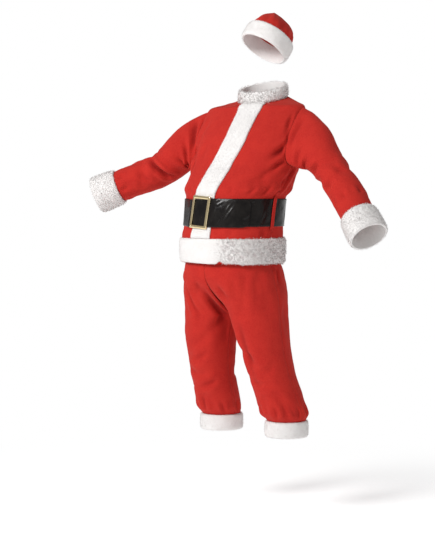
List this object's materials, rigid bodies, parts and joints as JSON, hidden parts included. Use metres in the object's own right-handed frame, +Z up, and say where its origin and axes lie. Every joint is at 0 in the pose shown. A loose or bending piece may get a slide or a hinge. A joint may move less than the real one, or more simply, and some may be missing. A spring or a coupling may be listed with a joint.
{
  "type": "santa suit",
  "caption": "Worn, empty santa suit in red plush with white fur bands: buttonless jacket, wide black belt with a gold buckle, trousers and hat.",
  "frame": {"origin": "base of the wearer's neck, inside the jacket's neckline, where the neck and shoulders hold the suit up", "axes": "+Z up, -Y the wearer's front, +X the wearer's left"},
  "size_m": [1.2511, 0.4944, 1.5403],
  "materials": {
    "red_plush": "matte",
    "white_fur": "matte",
    "black_vinyl": "glossy",
    "gold_metal": "polished"
  },
  "bodies": {
    "root": {"jacket_back": "red_plush", "jacket_front_left": "red_plush", "jacket_front_right": "red_plush", "sleeve_left": "red_plush", "sleeve_right": "red_plush", "belt_loop_left": "red_plush", "belt_loop_right": "red_plush", "trouser_front_left": "red_plush", "trouser_front_right": "red_plush", "trouser_back_left": "red_plush", "trouser_back_right": "red_plush", "trouser_waistband": "red_plush", "hat_crown": "red_plush", "front_band": "white_fur", "collar": "white_fur", "hem_band": "white_fur", "cuff_left": "white_fur", "cuff_right": "white_fur", "trouser_cuff_left": "white_fur", "trouser_cuff_right": "white_fur", "hat_brim": "white_fur", "belt": "black_vinyl", "buckle": "gold_metal"}
  },
  "joints": []
}
